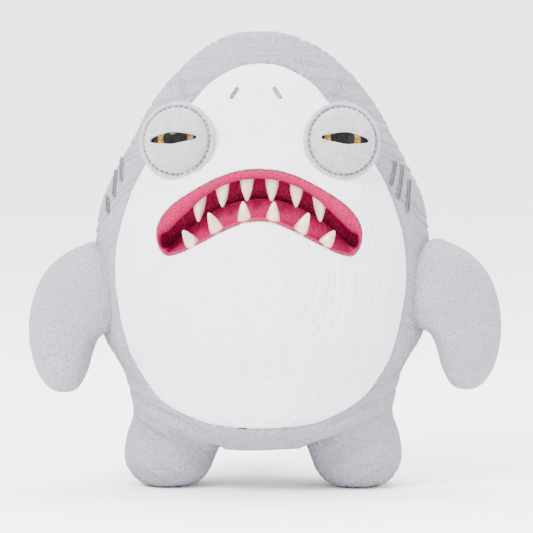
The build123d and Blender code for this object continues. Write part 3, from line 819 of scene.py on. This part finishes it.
embroidered("nostril_threads", NOSTRILS, 0.36, ["nostril_embroidery"])
for name, slits in GILLS.items():
    embroidered(f"{name}_gill_threads", slits, 0.5, [f"{name}_gill_embroidery"])


# ---------------------------------------------------------------- padded limbs
def inflated(outline, swell, spacing=1.5):
    """Height over a flat outline that a stuffed limb takes: a sheet blown up from its sewn edge."""
    low = outline.min(0) - 3 * spacing
    size = np.ceil((outline.max(0) - low) / spacing).astype(int) + 4
    xs, zs = low[0] + spacing * np.arange(size[0]), low[1] + spacing * np.arange(size[1])
    grid_x, grid_z = np.meshgrid(xs, zs, indexing="ij")
    inside = np.zeros(grid_x.shape, bool)
    following = np.roll(outline, -1, 0)
    for (x0, z0), (x1, z1) in zip(outline, following):
        crosses = (z0 > grid_z) != (z1 > grid_z)
        with np.errstate(divide="ignore", invalid="ignore"):
            at = (x1 - x0) * (grid_z - z0) / (z1 - z0) + x0
        inside ^= crosses & (grid_x < at)
    height = np.zeros(grid_x.shape)
    for _ in range(900):
        beside = np.roll(height, 1, 0) + np.roll(height, -1, 0)
        mean = (beside + np.roll(height, 1, 1) + np.roll(height, -1, 1)) / 4
        height = np.where(inside, mean + spacing**2 / 4, 0)
    height = np.sqrt(height)
    return xs, zs, height * swell / height.max()


def sample(field, flat):
    """Height of the inflated sheet at places inside its outline."""
    xs, zs, height = field
    u = np.clip((flat[:, 0] - xs[0]) / (xs[1] - xs[0]), 0, len(xs) - 1.001)
    v = np.clip((flat[:, 1] - zs[0]) / (zs[1] - zs[0]), 0, len(zs) - 1.001)
    i, j = u.astype(int), v.astype(int)
    a, b = u - i, v - j
    return ((1 - a) * (1 - b) * height[i, j] + a * (1 - b) * height[i + 1, j]
            + (1 - a) * b * height[i, j + 1] + a * b * height[i + 1, j + 1])


def padded_pair(curve, spine_ends, swell, count=220, rows=42):
    """Flat places and heights of a limb's sheet, in rows from the sewn edge to the spine."""
    outline = smooth_curve(curve, count, closed=True)
    field = inflated(outline, swell)
    start, end = (np.array(point, float) for point in spine_ends)
    run = end - start
    share = np.clip((outline - start) @ run / (run @ run), 0, 1)
    spine = start + share[:, None] * run
    flats, heights = [], []
    for step in np.linspace(0, 1, rows):
        inward = 1 - math.cos(step * math.pi / 2)
        flat = outline + (spine - outline) * inward
        flats.append(flat)
        height = sample(field, flat)
        edge = np.linalg.norm(flat - outline, axis=1)
        rim = np.sqrt(np.clip(edge, 0, 4) / 4)
        heights.append(height * (0.25 + 0.75 * rim) if step else height * 0)
    return np.array(flats), np.array(heights), outline


def seam_groove(heights, flats, outline):
    """Small puckers of the sewn edge."""
    edge = np.linalg.norm(flats - outline[None], axis=2)
    run = np.arange(outline.shape[0]) * 2 * math.pi / outline.shape[0]
    pucker = np.sin(run * 31) * 0.5 + np.sin(run * 47 + 1) * 0.4
    return heights + 0.28 * pucker[None] * np.exp(-((edge - 3.0) / 2.4) ** 2)


# arms: front and back sheets sewn together round their edge
ARM_SWELL = 17.0
ARM_FORWARD = 8.0  # the arms sit a little in front of the side seam

for name in ("left", "right"):
    side = side_of(name)
    curve = ARM_SIDE + ([1.6, 1.6] if side > 0 else [-1.2, -0.6])
    flats, heights, outline = padded_pair(curve, ((84, 104), (102, 68)), ARM_SWELL)
    heights = seam_groove(heights, flats, outline)
    for kind, way in (("front", -1), ("back", 1)):
        depth = ARM_Y - ARM_FORWARD + way * heights
        points = np.stack([side * flats[:, :, 0], depth, flats[:, :, 1]], axis=2).reshape(-1, 3)
        faces = grid_faces(len(flats), len(outline))
        inside = [f"{name}_arm_stuffing"] if kind == "front" else []
        piece = mesh_piece(f"{name}_arm_{kind}_cover", points, faces, GREY, None,
                           [f"{name}_arm_{kind}_panel"] + inside, flip=(side * way) > 0)
        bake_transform(piece)


def side_limb(prefix, curve, spine_ends, swell, place):
    """A fin in the middle plane: left and right sheets sewn together round their edge."""
    flats, heights, outline = padded_pair(curve, spine_ends, swell)
    heights = seam_groove(heights, flats, outline)
    for kind, way in (("left", 1), ("right", -1)):
        points = place(way * heights, flats).reshape(-1, 3)
        faces = grid_faces(len(flats), len(outline))
        inside = [f"{prefix}_stuffing"] if kind == "left" else []
        piece = mesh_piece(f"{prefix}_{kind}_cover", points, faces, GREY, None,
                           [f"{prefix}_{kind}_panel"] + inside, flip=way < 0)
        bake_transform(piece)


fin_foot = joints["dorsal_fin_fold"]
fin_up = axes["dorsal_fin_fold"]
fin_out = np.cross(fin_up, [1, 0, 0])
tail_foot = joints["tail_wag"]


def place_fin(across, flats):
    """Points of the dorsal fin, out and up along its hinge line."""
    in_plane = fin_foot + flats[:, :, :1] * fin_out + flats[:, :, 1:] * fin_up
    return in_plane + across[:, :, None] * np.array([1.0, 0, 0])


def place_tail(across, flats):
    """Points of the tail, out from its hinge line at their own heights."""
    return np.stack([across, tail_foot[1] + flats[:, :, 0], flats[:, :, 1]], axis=2)


side_limb("dorsal_fin", FIN_SIDE, ((2, 26), (28, 18)), 8.0, place_fin)
side_limb("tail", TAIL_SIDE, ((2, 43), (34, 52)), 9.5, place_tail)

# ---------------------------------------------------------------- teeth
TOOTH_RADIUS = 3.7
TOOTH_SHAPE = [(0.0, 1.0), (0.10, 1.0), (0.25, 0.97), (0.4, 0.89), (0.55, 0.77), (0.68, 0.63), (0.79, 0.49),
               (0.88, 0.355), (0.94, 0.25), (0.98, 0.14), (1.0, 0.02)]
UPPER_TEETH = [((6.4, 160.5), (6.0, 146.6)), ((18.5, 157.6), (18.0, 143.6)), ((29.6, 151.4), (29.9, 136.4))]
LOWER_TEETH = [((6.6, 134.4), (7.6, 147.2)), ((19.0, 130.0), (24.6, 141.6)), ((31.0, 123.8), (37.2, 132.8))]


def tooth_piece(name, root, tip, side, set_back):
    """A smooth pointed peg standing on the gum, its foot sunk in the lining."""
    root, tip = np.array([side * root[0], root[1]]), np.array([side * tip[0], tip[1]])
    depth = on_front(np.array([root]))[0, 1] + set_back
    start, end = np.array([root[0], depth, root[1]]), np.array([tip[0], depth - 0.35 * set_back, tip[1]])
    along = end - start
    length = np.linalg.norm(along)
    along /= length
    across = np.cross(along, [0, 1, 0])
    across /= np.linalg.norm(across)
    out = np.cross(across, along)
    shape = smooth_curve(np.array(TOOTH_SHAPE), 34)
    angle = np.linspace(0, 2 * math.pi, 40, endpoint=False)
    rows = [start + along * length * share + TOOTH_RADIUS * max(size, 0.01) * (
        np.cos(angle)[:, None] * across + np.sin(angle)[:, None] * out) for share, size in shape]
    mesh_piece(f"{name}_peg", np.vstack(rows), grid_faces(len(rows), 40), TOOTH, "body",
               [name], flip=True)


for row, teeth, set_back in (("upper", UPPER_TEETH, 9.0), ("lower", LOWER_TEETH, 5.0)):
    for number, (side, index) in enumerate([(-1, 2), (-1, 1), (-1, 0), (1, 0), (1, 1), (1, 2)], start=1):
        tooth_piece(f"{row}_tooth_{number}", *teeth[index], side, set_back)

# ---------------------------------------------------------------- CAD pieces that stay
for node, piece in frame["nodes"].items():
    if "washer" in node:
        piece.data.materials.clear()
        piece.data.materials.append(WASHER)

# ---------------------------------------------------------------- floor, light and camera
def area_light(name, place, target, size, watts, colour=(1, 1, 1)):
    light = bpy.data.lights.new(name, "AREA")
    light.shape = "DISK"
    light.size = size
    light.energy = watts
    light.color = colour
    lamp = bpy.data.objects.new(name, light)
    lamp.location = place
    lamp.rotation_euler = (Vector(target) - Vector(place)).to_track_quat("-Z", "Y").to_euler()
    bpy.context.scene.collection.objects.link(lamp)


def floor():
    mesh = bpy.data.meshes.new("studio_floor")
    mesh.from_pydata([(-6, -6, 0), (6, -6, 0), (6, 6, 0), (-6, 6, 0)], [], [(0, 1, 2, 3)])
    material, nodes, links, shader, place = new_material("studio_white", 0.9, 0.1)
    shader.inputs["Base Color"].default_value = (0.97, 0.97, 0.97, 1)
    mesh.materials.append(material)
    plane = bpy.data.objects.new("studio_floor", mesh)
    bpy.context.scene.collection.objects.link(plane)


def studio():
    world = bpy.data.worlds.new("studio")
    bpy.context.scene.world = world
    world.use_nodes = True
    background = world.node_tree.nodes["Background"]
    background.inputs["Color"].default_value = (1.0, 1.0, 1.0, 1)
    background.inputs["Strength"].default_value = 3.4
    target = (0, 0, 0.11)
    area_light("key", (-0.75, -1.1, 1.15), target, 0.6, 56.0)
    area_light("fill", (1.2, -1.0, 0.5), target, 0.9, 8.0)
    area_light("top", (0.1, 0.3, 1.3), target, 0.8, 26.0)


def camera():
    """Long lens, almost level and almost straight on."""
    distance = 2.1
    turn, lift = math.radians(2.0), math.radians(4.0)
    target = Vector((0.0015, BODY_Y * MM * 0.7, 0.1105))
    way = Vector((math.sin(turn) * math.cos(lift), -math.cos(turn) * math.cos(lift), math.sin(lift)))
    lens = bpy.data.cameras.new("photo_view")
    lens.sensor_width = 36.0
    lens.lens = 36.0 * distance / 0.2694
    viewer = bpy.data.objects.new("photo_view", lens)
    viewer.location = target + way * distance
    viewer.rotation_euler = (-way).to_track_quat("-Z", "Y").to_euler()
    bpy.context.scene.collection.objects.link(viewer)
    bpy.context.scene.camera = viewer


floor()
studio()
camera()
